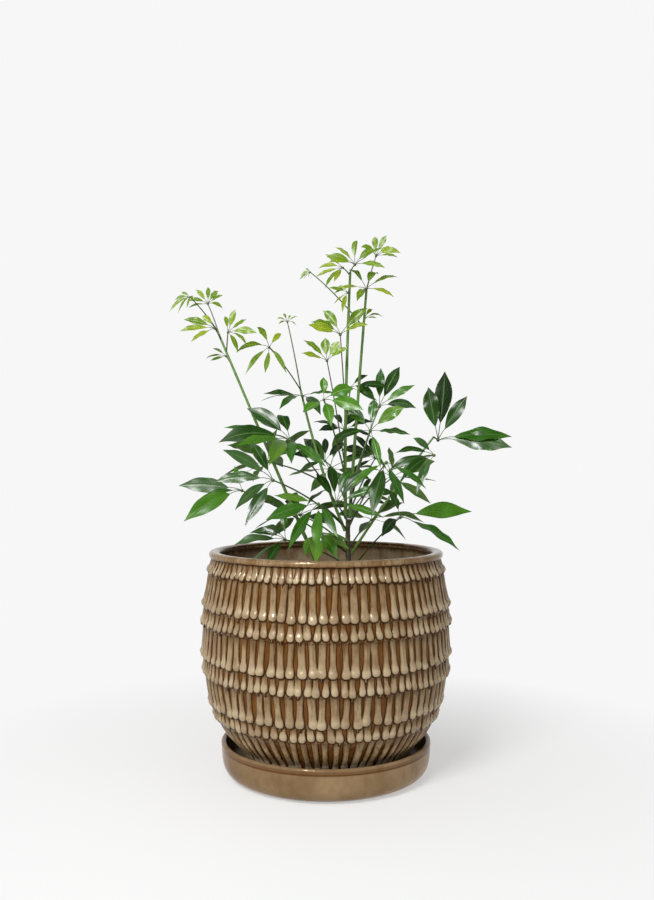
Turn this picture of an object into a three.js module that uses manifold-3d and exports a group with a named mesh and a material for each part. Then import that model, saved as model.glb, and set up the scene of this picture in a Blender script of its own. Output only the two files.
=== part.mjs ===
// A potted dwarf umbrella tree: a carved, glazed pot on its saucer, filled with soil, and a young
// plant with several shoots, whose rosettes of leaflets stand on long stalks.
// Millimetres, +Z up, the viewer towards -Y. The origin is the centre of the saucer's flat underside.
import * as THREE from "three";
import Module from "manifold-3d";

const wasm = await Module();
wasm.setup();

// Gap between neighbouring pieces
const CLEAR = 0.3;

// Saucer
const SAUCER_RIM = 103.6;
const SAUCER_HEIGHT = 34;
const SAUCER_BASE = 85;
const SAUCER_FLOOR = 6;
const SAUCER_WALL = 5;

// Pot: foot, floor, lip and wall
const POT_FOOT = 82;
const POT_FOOT_Z = SAUCER_FLOOR + CLEAR;
const POT_FLOOR_Z = 20;
const POT_FLOOR_RADIUS = 68;
const POT_WALL = 11;
const LIP_OUTER = 115.8;
const LIP_INNER = 105;
const LIP_TOP = 219.7;
const LIP_FOOT = 213.2;
const PLAIN_COLUMNS = 48;

// Carved rows from the lip down: strokes round the pot, top and bottom of the row, the radius over
// the strokes at both ends, and how deep the grooves between the strokes are
const CARVED_ROWS = [
  { strokes: 105, top: 213, bottom: 200.2, upper: 114.6, lower: 119.4, groove: 1.6 },
  { strokes: 81, top: 199, bottom: 166.2, upper: 118.2, lower: 124.4, groove: 2.2 },
  { strokes: 96, top: 165, bottom: 149.6, upper: 122.6, lower: 125.4, groove: 1.8 },
  { strokes: 81, top: 148.4, bottom: 118.8, upper: 123.2, lower: 125.2, groove: 2.2 },
  { strokes: 96, top: 117.6, bottom: 101.8, upper: 122.4, lower: 123.6, groove: 1.8 },
  { strokes: 73, top: 100.6, bottom: 72.8, upper: 121, lower: 117, groove: 2.2 },
  { strokes: 82, top: 71.6, bottom: 58.4, upper: 114.6, lower: 111.8, groove: 1.8 },
  { strokes: 66, top: 57.2, bottom: 24, upper: 109.4, lower: 85, groove: 2.2 },
];

const SHORT_ROW = 20;

// Soil
const SOIL_TOP = 188;

// Stems: each runs from its base past a bend to its tip, and tapers between two radii
const STEMS = {
  trunk: { base: [24, 0, 188.4], bend: [21, 0, 224], tip: [22, -1, 250], radii: [2.7, 2.2] },
  left: { base: [-1, -12, 188.4], bend: [-40, -6, 277], tip: [-110, 12, 440], radii: [1.9, 1.1] },
  middle: { base: [19.1, 2.7, 238], bend: [-8, 14, 301], tip: [-26, 26, 381], radii: [1.6, 1.1] },
  centre: { base: [19.8, -2.4, 250.7], bend: [17, -6, 329], tip: [24, -6, 495], radii: [1.8, 1.2] },
  right: { base: [23.6, 0.6, 250.7], bend: [28, 12, 319], tip: [41, 16, 481], radii: [1.8, 1.2] },
  far_right: { base: [25.3, -2.2, 216], bend: [66, -12, 280], tip: [108, 6, 332], radii: [1.4, 1] },
};
const ROOT_FLARE = { extra: 2.3, height: 6 };
const STEM_SIDES = 6;
const STEM_STEPS = 8;
const FLARE_SHARES = [0.03, 0.07];

// Where a shoot ends and a mass of leaves takes its tip over, as a share of the way along
const TIP_MASSES = {
  leaves_top_left: { stem: "left", from: 0.84 },
  leaves_top_middle: { stem: "middle", from: 0.91 },
  leaves_top_centre: { stem: "centre", from: 0.92 },
  leaves_top_right: { stem: "right", from: 0.86 },
  leaves_far_right: { stem: "far_right", from: 0.72 },
};

// Leaflets by age: cup is how far they rise above the rosette's own plane in degrees, droop the
// fall of the tip and width half the blade's breadth, both as shares of the length
const AGES = {
  old: { cup: 20, droop: 0.3, width: 0.15 },
  grown: { cup: 18, droop: 0.28, width: 0.15 },
  fresh: { cup: 22, droop: 0.25, width: 0.18 },
  young: { cup: 26, droop: 0.4, width: 0.14 },
  bud: { cup: 35, droop: 0.6, width: 0.12 },
};

// Rosettes: the mass, the stem and where its stalk leaves that, where its heart stands, and the
// stalk's bow to the side; then the leaflets: how many, their length, the rosette's facing and lean
// off level, the turns of the first and last leaflet, counted from the side it leans to, and the age
const ROSETTES = [
  ["leaves_top_right", "right", 1, [51, 20, 517], 0, 7, 23, 270, 60, 85, 235, "young"],
  ["leaves_top_right", "right", 0.97, [40, -2, 479], 0, 7, 34, 275, 45, 65, 335, "young"],
  ["leaves_top_right", "right", 0.88, [40, 28, 455], 0, 4, 16, 270, 40, 60, 200, "young"],
  ["leaves_top_right", "right", 0.88, [-16, 22, 501], 0, 7, 9, 230, 60, 230, 420, "bud"],
  ["leaves_top_centre", "centre", 1, [28, -26, 498], 0, 7, 30, 265, 50, 85, 275, "young"],
  ["leaves_top_centre", "centre", 0.99, [17, 6, 502], 0, 5, 24, 250, 60, 235, 350, "young"],
  ["leaves_top_centre", "centre", 0.94, [21, -26, 471], 0, 5, 19, 250, 60, 225, 360, "young"],
  ["leaves_centre_high", "centre", 0.5, [14, -14, 432], 0, 6, 35, 265, 55, 105, 265, "fresh"],
  ["leaves_centre_young", "centre", 0.28, [1, -24, 405], 0, 5, 26, 270, 55, 120, 265, "fresh"],
  ["leaves_top_left", "left", 0.98, [-121, 24, 469], 0, 7, 20, 270, 55, 75, 295, "young"],
  ["leaves_top_left", "left", 1, [-136, 4, 472], 0, 8, 15, 240, 55, 240, 420, "bud"],
  ["leaves_top_left", "left", 0.93, [-97, -8, 435], 0, 6, 24, 280, 60, 20, 190, "young"],
  ["leaves_top_left", "left", 0.97, [-111, -2, 440], 0, 4, 27, 250, 55, 225, 320, "young"],
  ["leaves_top_left", "left", 0.86, [-103, 30, 416], 0, 3, 18, 250, 50, 245, 315, "young"],
  ["leaves_top_middle", "middle", 1, [-57, 6, 422], 0, 6, 29, 265, 80, 145, 410, "young"],
  ["leaves_top_middle", "middle", 0.99, [-40, 34, 452], 0, 6, 13, 270, 40, 60, 300, "bud"],
  ["leaves_top_middle", "middle", 0.93, [-24, 18, 374], 0, 5, 44, 260, 25, 268, 430, "grown"],
  ["leaves_centre_fresh", "centre", 0.24, [-2, -42, 366], 0, 5, 30, 275, 60, 316, 540, "fresh"],
  ["leaves_centre_back", "centre", 0.44, [25, 22, 383], 0, 3, 30, 280, 60, 55, 140, "grown"],
  ["leaves_right_inner", "right", 0.1, [42, -46, 336], 0, 6, 36, 270, 60, 20, 270, "grown"],
  ["leaves_right_high", "right", 0.2, [55, 30, 364], 0, 5, 42, 280, 60, 90, 210, "grown"],
  ["leaves_far_right", "far_right", 0.76, [102, -50, 313], 0, 5, 34, 265, 65, 225, 330, "grown"],
  ["leaves_far_right", "far_right", 1, [113, 10, 329], 0, 3, 60, 275, 70, 140, 190, "grown"],
  ["leaves_right_front", "trunk", 0.8, [54, -95, 306], 0, 4, 42, 275, 55, 300, 410, "grown"],
  ["leaves_right_back", "right", 0.05, [52, 55, 311], 0, 5, 32, 270, 50, 190, 310, "old"],
  ["leaves_front", "trunk", 0.78, [-7, -72, 268], 0, 5, 41, 262, 55, 262, 395, "grown"],
  ["leaves_right_low", "trunk", 0.12, [71, -40, 254], 0, 2, 68, 280, 45, 30, 100, "grown"],
  ["leaves_left_high", "middle", 0.3, [-35, -26, 328], 0, 8, 54, 285, 35, 190, 385, "grown"],
  ["leaves_left_far", "trunk", 0.4, [-82, -20, 279], -14, 2, 66, 260, 50, 270, 305, "grown"],
  ["leaves_left_front", "middle", 0.05, [-48, -82, 290], 0, 7, 42, 265, 65, 140, 335, "grown"],
  ["leaves_inner_left", "centre", 0.2, [-1, 30, 308], 0, 5, 32, 270, 65, 140, 290, "old"],
  ["leaves_inner_back", "centre", 0.32, [19, 48, 341], 0, 6, 32, 270, 35, 60, 290, "old"],
  ["leaves_left_low", "trunk", 0.2, [-38, -58, 234], 0, 6, 36, 255, 45, 190, 350, "grown"],
  ["leaves_front_centre", "trunk", 0.92, [10, -34, 267], 0, 7, 44, 275, 55, 60, 210, "grown"],
  ["leaves_inner_right", "right", 0.02, [37, 30, 271], 0, 5, 28, 285, 50, 60, 150, "old"],
  ["leaves_front_low", "trunk", 0.6, [-9, -52, 240], 0, 5, 36, 280, 40, 330, 430, "fresh"],
  ["leaves_back_left_high", "middle", 0.35, [-62, 58, 307], 0, 8, 50, 140, 40, 25, 335, "grown"],
  ["leaves_back_high", "centre", 0.1, [4, 92, 299], 0, 8, 50, 90, 40, 25, 335, "grown"],
  ["leaves_back_right_high", "trunk", 0.9, [72, 82, 290], 0, 8, 46, 50, 45, 25, 335, "grown"],
  ["leaves_back_left_low", "trunk", 0.5, [-28, 75, 250], 0, 8, 50, 110, 35, 25, 335, "grown"],
  ["leaves_back_right_low", "trunk", 0.45, [49, 72, 245], 0, 7, 48, 70, 35, 25, 335, "grown"],
  ["leaves_far_right", "far_right", 1, [113, 10, 329], 0, 2, 72, 275, 70, 84, 90, "grown"],
  ["leaves_right_low", "trunk", 0.12, [71, -40, 254], 0, 2, 36, 280, 50, 190, 310, "grown"],
  ["leaves_left_far", "trunk", 0.4, [-82, -20, 279], -14, 2, 38, 260, 50, 200, 290, "grown"],
];

// How far a leaflet strays from its rosette's rule: turn, rise and twist in degrees, then the
// length, the sweep of the tip and the breadth as shares
const STRAY = { turn: 14, rise: 18, twist: 56, length: 0.24, sweep: 0.16, breadth: 0.3 };
const END_LEAFLET = 0.8;
const STALK_RADII = { thick: 0.95, thin: 0.65 };
const STALK_TAPER = [1.15, 0.8];
const STALK_STEPS = 5;
const STALK_SIDES = 3;
const STALK_RISE = 0.08;
const SEAT_STEP = 0.1;
const HEART_RADIUS = 1.9;
const IN_HEART = 0.3;
const LEAFLET_STALK = 0.26;
const LEAFLET_THICKNESS = 0.03;
const LONG_LEAFLET = 44;
const TINY_LEAFLET = 24;
const BLADE_STATIONS = { long: [0.36, 0.74], short: [0.46] };

const UP = new THREE.Vector3(0, 0, 1);
const radians = THREE.MathUtils.degToRad;

const glaze = new THREE.MeshStandardMaterial({ color: 0x9a8260, roughness: 0.3, metalness: 0 });
const saucerGlaze = new THREE.MeshStandardMaterial({ color: 0x8a7153, roughness: 0.3, metalness: 0 });
const earth = new THREE.MeshStandardMaterial({ color: 0x3a2a1c, roughness: 1, metalness: 0 });
const bark = new THREE.MeshStandardMaterial({ color: 0x4a4a30, roughness: 0.9, metalness: 0 });
const greenStem = new THREE.MeshStandardMaterial({ color: 0x60704d, roughness: 0.6, metalness: 0 });
const leafColours = { old: 0x3a5a34, grown: 0x2b5a14, fresh: 0x5a8a2a, young: 0x91a33f, bud: 0xa3b54a };

// A number from 0 to 1 that follows from its seed alone
function noise(seed) {
  const wave = Math.sin(seed * 12.9898 + 4.1414) * 43758.5453;
  return wave - Math.floor(wave);
}

// Vectors
function vector(list) {
  return new THREE.Vector3(...list);
}

function along(direction, distance, start) {
  return start.clone().addScaledVector(direction, distance);
}

function stemCurve(name) {
  const { base, bend, tip } = STEMS[name];
  return new THREE.QuadraticBezierCurve3(vector(base), vector(bend), vector(tip));
}

// The trunk also flares out over the soil
function stemRadius(name, share) {
  const [lower, upper] = STEMS[name].radii;
  const climbed = stemCurve(name).getPoint(share).z - SOIL_TOP;
  const flare = name === "trunk" ? ROOT_FLARE.extra * Math.exp(-climbed / ROOT_FLARE.height) : 0;
  return THREE.MathUtils.lerp(lower, upper, share) + flare;
}

// Closed surfaces
// Rings of points, each turning right-handed about the way they follow each other, become a closed
// mesh with flat ends. A ring of one point is a tip.
function loft(rings) {
  const positions = rings.flat().flatMap((point) => point.toArray());
  const faces = [];
  let start = 0;
  for (let ring = 0; ring + 1 < rings.length; ring++) {
    const here = rings[ring].length;
    const next = rings[ring + 1].length;
    const sides = Math.max(here, next);
    for (let i = 0; i < sides; i++) {
      const a = start + (i % here);
      const b = start + ((i + 1) % here);
      const c = start + here + (i % next);
      const d = start + here + ((i + 1) % next);
      if (a !== b) faces.push(a, b, d);
      if (c !== d) faces.push(a, d, c);
    }
    start += here;
  }
  const first = rings[0].length;
  const last = rings[rings.length - 1].length;
  for (let i = 1; i + 1 < first; i++) faces.push(0, i + 1, i);
  for (let i = 1; i + 1 < last; i++) faces.push(start, start + i, start + i + 1);
  return closedGeometry(positions, faces);
}

function closedGeometry(positions, faces) {
  const geometry = new THREE.BufferGeometry();
  geometry.setAttribute("position", new THREE.Float32BufferAttribute(positions, 3));
  geometry.setIndex(faces);
  return geometry;
}

// A round tube that follows a list of points, with a radius for each
function tube(points, radii, sides) {
  let side = new THREE.Vector3(1, 0, 0);
  const rings = points.map((point, i) => {
    const before = points[Math.max(i - 1, 0)];
    const after = points[Math.min(i + 1, points.length - 1)];
    const way = after.clone().sub(before).normalize();
    side = side.clone().addScaledVector(way, -side.dot(way)).normalize();
    const across = way.clone().cross(side);
    return Array.from({ length: sides }, (_, k) => {
      const turn = (2 * Math.PI * k) / sides;
      return along(across, Math.sin(turn) * radii[i], along(side, Math.cos(turn) * radii[i], point));
    });
  });
  return loft(rings);
}

// Solids for joining
function solid(geometry) {
  const vertProperties = new Float32Array(geometry.getAttribute("position").array);
  const triVerts = new Uint32Array(geometry.index.array);
  return new wasm.Manifold(new wasm.Mesh({ numProp: 3, vertProperties, triVerts }));
}

function geometryOf(joined) {
  const { vertProperties, triVerts } = joined.getMesh();
  return closedGeometry(Array.from(vertProperties), Array.from(triVerts));
}

function mesh(name, geometry, material) {
  const made = new THREE.Mesh(geometry, material);
  made.name = name;
  geometry.computeVertexNormals();
  return made;
}

// Pot and saucer
// A level ring round the axis. The radius is a number, or a function of the column.
function levelRing(columns, z, radius) {
  return Array.from({ length: columns }, (_, k) => {
    const angle = (2 * Math.PI * k) / columns;
    const r = typeof radius === "number" ? radius : radius(k);
    return new THREE.Vector3(r * Math.cos(angle), r * Math.sin(angle), z);
  });
}

// Level rings with any number of columns each, stitched upwards on the outside, over the lip and
// down the inside, from the middle of the underside to the middle of the floor
function stitch(rings) {
  const positions = rings.flat().flatMap((point) => point.toArray());
  const faces = [];
  let start = 0;
  for (let ring = 0; ring + 1 < rings.length; ring++) {
    const here = rings[ring].length;
    const next = rings[ring + 1].length;
    const upper = start + here;
    let i = 0;
    let j = 0;
    while (i < here || j < next) {
      const stepHere = next === 1 || (here > 1 && (i + 1) / here <= (j + 1) / next);
      const a = start + (i % here);
      const c = upper + (j % next);
      if (stepHere) {
        i += 1;
        faces.push(a, start + (i % here), c);
      } else {
        j += 1;
        faces.push(a, upper + (j % next), c);
      }
      if (next === 1 && i === here) break;
      if (here === 1 && j === next) break;
    }
    start = upper;
  }
  return closedGeometry(positions, faces);
}

// One carved row's two rings: even columns run over a stroke, odd ones down in a groove. The
// strokes of a short row fade out at its top.
function carvedRings({ strokes, top, bottom, upper, lower, groove }) {
  const over = (radius) => (column) => (column % 2 ? radius - groove : radius);
  const faded = top - bottom < SHORT_ROW;
  return [
    levelRing(2 * strokes, bottom, over(lower)),
    faded ? levelRing(PLAIN_COLUMNS, top, upper - groove / 2) : levelRing(2 * strokes, top, over(upper)),
  ];
}

// The inner wall follows the carved outside at the wall's thickness, stepped back under the lip
const INNER_WALL = [
  [211.5, LIP_OUTER - 7],
  [SOIL_TOP, 121 - POT_WALL],
  [130, 123 - POT_WALL],
  [60, 109 - POT_WALL],
  [POT_FLOOR_Z + 8, 87 - POT_WALL],
];

function pot() {
  const plain = (z, radius) => levelRing(PLAIN_COLUMNS, z, radius);
  const outside = [...CARVED_ROWS].reverse().flatMap(carvedRings);
  const lip = [
    plain(LIP_FOOT + 1.6, LIP_OUTER),
    plain(LIP_TOP - 1, LIP_OUTER - 1.4),
    plain(LIP_TOP, LIP_OUTER - 4.6),
    plain(LIP_TOP - 1.4, LIP_INNER),
    plain(LIP_FOOT, LIP_INNER + 0.8),
  ];
  return stitch([
    [new THREE.Vector3(0, 0, POT_FOOT_Z)],
    plain(POT_FOOT_Z, POT_FOOT),
    ...outside,
    ...lip,
    ...INNER_WALL.map(([z, radius]) => plain(z, radius)),
    plain(POT_FLOOR_Z, POT_FLOOR_RADIUS),
    [new THREE.Vector3(0, 0, POT_FLOOR_Z)],
  ]);
}

// The soil fills the pot up to its level, just clear of the wall and the floor
function soil() {
  const wall = INNER_WALL.filter(([z]) => z <= SOIL_TOP);
  const side = wall.map(([z, radius]) => [radius - CLEAR - 0.2, z]);
  return turned([
    [0, SOIL_TOP],
    ...side,
    [POT_FLOOR_RADIUS - 1, POT_FLOOR_Z + CLEAR + 0.1],
    [0, POT_FLOOR_Z + CLEAR + 0.1],
  ]);
}

function saucer() {
  return turned([
    [0, SAUCER_FLOOR],
    [SAUCER_BASE + 3, SAUCER_FLOOR],
    [SAUCER_RIM - SAUCER_WALL - 1, SAUCER_FLOOR + 9],
    [SAUCER_RIM - SAUCER_WALL, SAUCER_HEIGHT - 1.5],
    [SAUCER_RIM - SAUCER_WALL / 2, SAUCER_HEIGHT],
    [SAUCER_RIM, SAUCER_HEIGHT - 2],
    [SAUCER_RIM - 0.8, SAUCER_HEIGHT - 6],
    [SAUCER_RIM - 0.6, 18],
    [SAUCER_RIM - 3.2, 9],
    [SAUCER_RIM - 9, 3],
    [SAUCER_BASE, 0],
    [0, 0],
  ]);
}

// A profile of [radius, z] points from the axis round to the axis, turned about +Z
function turned(profile) {
  const rings = profile.map(([radius, z]) =>
    radius ? levelRing(PLAIN_COLUMNS, z, radius) : [new THREE.Vector3(0, 0, z)],
  );
  return stitch(rings.reverse());
}

// Stems
function stem(name, from, to) {
  const curve = stemCurve(name);
  const steps = Math.max(2, Math.round(STEM_STEPS * (to - from)));
  const shares = Array.from({ length: steps + 1 }, (_, i) => THREE.MathUtils.lerp(from, to, i / steps));
  if (name === "trunk") shares.splice(1, 0, ...FLARE_SHARES);
  const points = shares.map((share) => curve.getPoint(share));
  const radii = shares.map((share) => stemRadius(name, share));
  const geometry = tube(points, radii, STEM_SIDES);
  if (points[0].z < SOIL_TOP + 1) cutLevel(geometry, points[0].z);
  return geometry;
}

// A stem that rises from the soil has a level foot
function cutLevel(geometry, z) {
  const position = geometry.getAttribute("position");
  for (let i = 0; i < STEM_SIDES; i++) position.setZ(i, z);
}

// A shoot stops a gap short of the mass that goes on from it
function shootEnd(name) {
  const { from } = Object.values(TIP_MASSES).find((entry) => entry.stem === name);
  const curve = stemCurve(name);
  const step = 0.01;
  const speed = curve.getPoint(from).distanceTo(curve.getPoint(from - step)) / step;
  return from - (CLEAR + 0.05) / speed;
}

// Rosettes
function readRosette(row, index) {
  const [mass, stemName, at, place, bow, leaflets, length, facing, lean, first, last, age] = row;
  const axis = stemCurve(stemName).getPoint(at);
  const heart = vector(place);
  const tilt = radians(lean);
  const face = radians(facing);
  const normal = new THREE.Vector3(
    Math.sin(tilt) * Math.cos(face),
    Math.sin(tilt) * Math.sin(face),
    Math.cos(tilt),
  );
  const ring = { leaflets, length, face, tilt, first, last, age };
  return { mass, stemName, at, axis, heart, bow, normal, index, ...ring };
}

// A stalk bows up on its way to the rosette's heart, from a start beside its stem
function stalkFrom(start, { axis, heart, bow, age }) {
  const radius = AGES[age].cup > AGES.fresh.cup ? STALK_RADII.thin : STALK_RADII.thick;
  const reach = heart.clone().sub(axis);
  const sideways = reach.clone().cross(UP).normalize();
  const middle = start.clone().add(heart).multiplyScalar(0.5);
  middle.addScaledVector(UP, STALK_RISE * reach.length()).addScaledVector(sideways, bow);
  const curve = new THREE.QuadraticBezierCurve3(start, middle, heart);
  const points = curve.getPoints(STALK_STEPS);
  const radii = points.map((_, i) => radius * THREE.MathUtils.lerp(...STALK_TAPER, i / STALK_STEPS));
  return solid(tube(points, radii, STALK_SIDES));
}

// On a shoot's tip a stalk starts inside the stem. Elsewhere it moves out from the stem's middle
// until it is a gap clear of the bark.
function stalk(rosette, limbs) {
  const { mass, stemName, at, axis, heart } = rosette;
  if (TIP_MASSES[mass]) return stalkFrom(axis, rosette);
  const limb = limbs.get(stemName === "trunk" ? stemName : "shoot_" + stemName);
  const way = stemCurve(stemName).getTangent(at);
  const reach = heart.clone().sub(axis);
  const outward = reach.addScaledVector(way, -reach.dot(way)).normalize();
  let seat = stemRadius(stemName, at);
  let piece = stalkFrom(along(outward, seat, axis), rosette);
  while (piece.minGap(limb, 1) < CLEAR) {
    seat += SEAT_STEP;
    piece = stalkFrom(along(outward, seat, axis), rosette);
  }
  return piece;
}

// The small knob where a rosette's leaflets meet
function heartSolid(rosette) {
  const size = Math.min(HEART_RADIUS, 0.9 + rosette.length / 45);
  const around = [0, 1, 2, 3].map((k) => {
    const turn = (Math.PI * k) / 2;
    return along(new THREE.Vector3(Math.cos(turn), Math.sin(turn), 0), size, rosette.heart);
  });
  return solid(loft([[along(UP, -size, rosette.heart)], around, [along(UP, size, rosette.heart)]]));
}

// One leaflet of the ring, as rings of left edge, right edge and keel from the heart to the tip
function leaflet(rosette, k) {
  const { leaflets, length, face, tilt, first, last, age, heart, normal, index } = rosette;
  const { cup, droop, width } = AGES[age];
  const seed = (index + 1) * 31 + k * 7;
  const downhill = new THREE.Vector3(
    Math.cos(tilt) * Math.cos(face),
    Math.cos(tilt) * Math.sin(face),
    -Math.sin(tilt),
  );
  const level = new THREE.Vector3(-Math.sin(face), Math.cos(face), 0);
  const stray = (most, number) => most * (noise(seed + number) - 0.5);
  const share = k / (leaflets - 1);
  const turn = radians(THREE.MathUtils.lerp(first, last, share) + stray(STRAY.turn, 0));
  const outward = downhill.multiplyScalar(Math.cos(turn)).addScaledVector(level, Math.sin(turn));
  const nearEnd = (2 * share - 1) ** 2;
  const size = length * THREE.MathUtils.lerp(1, END_LEAFLET, nearEnd) * (1 + stray(STRAY.length, 1));
  const rise = radians(cup + stray(STRAY.rise, 2));
  const way = outward.clone().multiplyScalar(Math.cos(rise)).addScaledVector(normal, Math.sin(rise));
  const fall = size * droop * (0.5 + noise(seed + 3));
  const twist = radians(stray(STRAY.twist, 4));
  const sweep = size * stray(STRAY.sweep, 5);
  const half = size * width * (1 + stray(STRAY.breadth, 6));
  const side = normal.clone().cross(outward);
  const root = along(way, LEAFLET_STALK * size, heart);
  const thickness = LEAFLET_THICKNESS * size;

  // A point of the centre line, at a share of the blade's length
  const centre = (u) => {
    const bent = Math.max(u, 0) ** 2;
    return along(side, sweep * bent, along(way, size * u, root)).addScaledVector(UP, -fall * bent);
  };
  const ring = (u, breadth, depth) => {
    const tangent = centre(u + 0.02).sub(centre(u - 0.02)).normalize();
    const flat = side.clone().addScaledVector(tangent, -side.dot(tangent)).normalize();
    const upward = tangent.clone().cross(flat);
    const across = flat.multiplyScalar(Math.cos(twist)).addScaledVector(upward, Math.sin(twist));
    const under = across.clone().cross(tangent);
    const point = centre(u);
    return [along(across, breadth, point), along(across, -breadth, point), along(under, depth, point)];
  };
  const profile = (u) => half * Math.sin(Math.PI * u ** 0.9) ** 0.85;
  const stalkHalf = 0.2 + 0.005 * size;
  const inHeart = ring(IN_HEART / size - LEAFLET_STALK, stalkHalf, stalkHalf * 2);
  const stalkEnd = ring(0, stalkHalf, stalkHalf * 2);
  const blade = BLADE_STATIONS[size > LONG_LEAFLET ? "long" : "short"];
  const rings = blade.map((u) => ring(u, profile(u), thickness));
  return solid(loft([inHeart, ...(size > TINY_LEAFLET ? [stalkEnd] : []), ...rings, [centre(1)]]));
}

// The plant
const plant = new Map();

// Every rosette's stalk and heart, with the tip of the shoot where a mass goes on from one
function massCores(rosettes, limbs) {
  const cores = new Map();
  for (const [name, { stem: stemName, from }] of Object.entries(TIP_MASSES)) {
    cores.set(name, solid(stem(stemName, from, 1)));
  }
  for (const rosette of rosettes) {
    const piece = stalk(rosette, limbs).add(heartSolid(rosette));
    const core = cores.get(rosette.mass);
    cores.set(rosette.mass, core ? core.add(piece) : piece);
  }
  return cores;
}

// Whether a piece keeps the gap to every solid but its own mass
function isClear(piece, own, others) {
  for (const [name, other] of others) {
    if (name !== own && piece.minGap(other, 2 * CLEAR) < CLEAR) return false;
  }
  return true;
}

function growMasses(limbs) {
  const rosettes = ROSETTES.map(readRosette);
  const masses = massCores(rosettes, limbs);
  for (const rosette of rosettes) {
    for (let k = 0; k < rosette.leaflets; k++) {
      const piece = leaflet(rosette, k);
      if (isClear(piece, rosette.mass, limbs) && isClear(piece, rosette.mass, masses)) {
        masses.set(rosette.mass, masses.get(rosette.mass).add(piece));
      }
    }
  }
  return masses;
}

const potGeometry = pot();
const soilGeometry = soil();
plant.set("trunk", stem("trunk", 0, 1));
for (const name of Object.keys(STEMS)) {
  if (name !== "trunk") plant.set("shoot_" + name, stem(name, 0, shootEnd(name)));
}
const limbs = new Map([...plant].map(([name, geometry]) => [name, solid(geometry)]));
limbs.set("pot", solid(potGeometry));
limbs.set("soil", solid(soilGeometry));
const masses = growMasses(limbs);

const pottedTree = new THREE.Group();
pottedTree.add(mesh("saucer", saucer(), saucerGlaze));
pottedTree.add(mesh("pot", potGeometry, glaze));
pottedTree.add(mesh("soil", soilGeometry, earth));
for (const [name, geometry] of plant) {
  pottedTree.add(mesh(name, geometry, name === "trunk" ? bark : greenStem));
}
for (const [name, joined] of masses) {
  const age = ROSETTES.find(([mass]) => mass === name).at(-1);
  const leaf = new THREE.MeshStandardMaterial({ color: leafColours[age], roughness: 0.45, metalness: 0 });
  pottedTree.add(mesh(name, geometryOf(joined), leaf));
}

export default pottedTree;
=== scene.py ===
# The looks of a potted dwarf umbrella tree in a carved, glazed pot on its saucer.
# Metres, +Z up, the viewer towards -Y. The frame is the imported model.
import math

import bpy
import numpy as np
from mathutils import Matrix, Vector
from mathutils.bvhtree import BVHTree


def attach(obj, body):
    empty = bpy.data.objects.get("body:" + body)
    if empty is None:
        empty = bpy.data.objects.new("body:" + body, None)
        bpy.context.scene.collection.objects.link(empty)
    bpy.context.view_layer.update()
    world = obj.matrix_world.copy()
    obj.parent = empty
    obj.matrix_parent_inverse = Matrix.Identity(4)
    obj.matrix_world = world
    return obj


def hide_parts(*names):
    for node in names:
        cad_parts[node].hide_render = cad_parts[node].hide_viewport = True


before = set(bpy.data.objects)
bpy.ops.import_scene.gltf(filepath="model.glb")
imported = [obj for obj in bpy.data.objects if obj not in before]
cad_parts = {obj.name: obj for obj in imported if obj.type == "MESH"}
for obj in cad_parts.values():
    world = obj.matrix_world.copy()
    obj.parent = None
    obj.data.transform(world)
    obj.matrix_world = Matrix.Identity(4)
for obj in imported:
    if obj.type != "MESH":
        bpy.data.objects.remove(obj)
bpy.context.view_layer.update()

MM = 0.001
UP = Vector((0, 0, 1))
TURN = 2 * math.pi


def new_object(name, data):
    made = bpy.data.objects.new(name, data)
    bpy.context.scene.collection.objects.link(made)
    return made


# Camera: level, in front of the pot, with a slight shift up
EYE = (0.001, -0.912, 0.303)
LENS = 36.56
SENSOR = 36
SHIFT_UP = 16 / 900
NEAREST, FARTHEST = 0.01, 60


def make_camera():
    data = bpy.data.cameras.new("camera")
    data.sensor_width = SENSOR
    data.lens = LENS
    data.shift_y = SHIFT_UP
    data.clip_start = NEAREST
    data.clip_end = FARTHEST
    camera = new_object("camera", data)
    camera.location = EYE
    camera.rotation_euler = (math.radians(90), 0, 0)
    bpy.context.scene.camera = camera


# Numbers that follow from a seed alone
def noise(seed):
    """A number from 0 to 1, by the rule of the solids."""
    wave = math.sin(seed * 12.9898 + 4.1414) * 43758.5453
    return wave - math.floor(wave)


def smooth(low, high, value):
    """0 at low and 1 at high, with a soft rise between."""
    share = np.clip((value - low) / (high - low), 0, 1)
    return share * share * (3 - 2 * share)


# Colours are written as they show on a screen, from 0 to 255
def linear(colour):
    channels = []
    for value in colour:
        share = value / 255
        channels.append(share / 12.92 if share <= 0.04045 else ((share + 0.055) / 1.055) ** 2.4)
    return (*channels, 1)


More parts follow.
